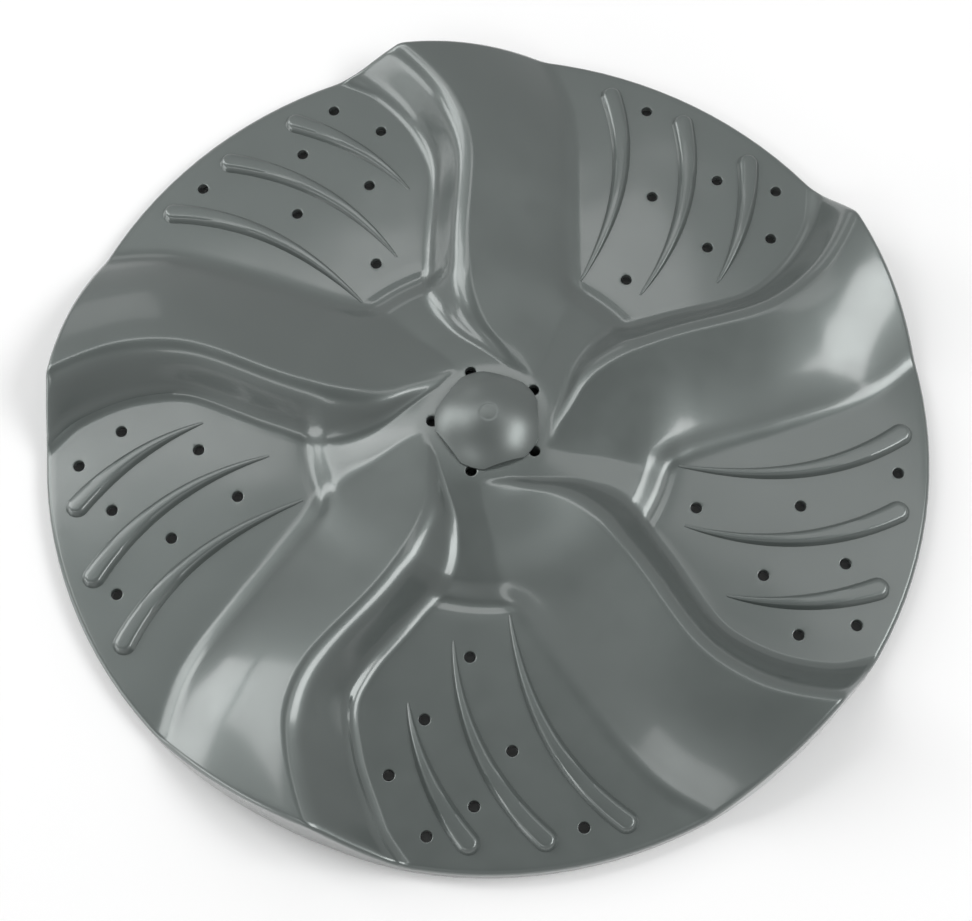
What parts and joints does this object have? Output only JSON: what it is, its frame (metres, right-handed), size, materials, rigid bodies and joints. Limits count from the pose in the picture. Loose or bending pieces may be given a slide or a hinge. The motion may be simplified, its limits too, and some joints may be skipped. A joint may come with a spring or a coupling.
{
  "type": "washing machine agitator",
  "caption": "Low round agitator disc with swirled vanes, drained pockets, a domed centre cap and a splined shaft socket underneath.",
  "frame": {"origin": "on the disc's axis, level with the lower edge of its skirt", "axes": "+Z along the drive axis towards the wash side, +X through the middle of a drain pocket's side as modelled"},
  "size_m": [0.3351, 0.3354, 0.0265],
  "materials": {
    "body": "semi-gloss injection moulding",
    "cap": "semi-gloss injection moulding",
    "insert": "die cast, as cast"
  },
  "bodies": {
    "root": {"pulsator_body": "body", "hub_cap": "cap", "spline_insert": "insert"}
  },
  "joints": []
}
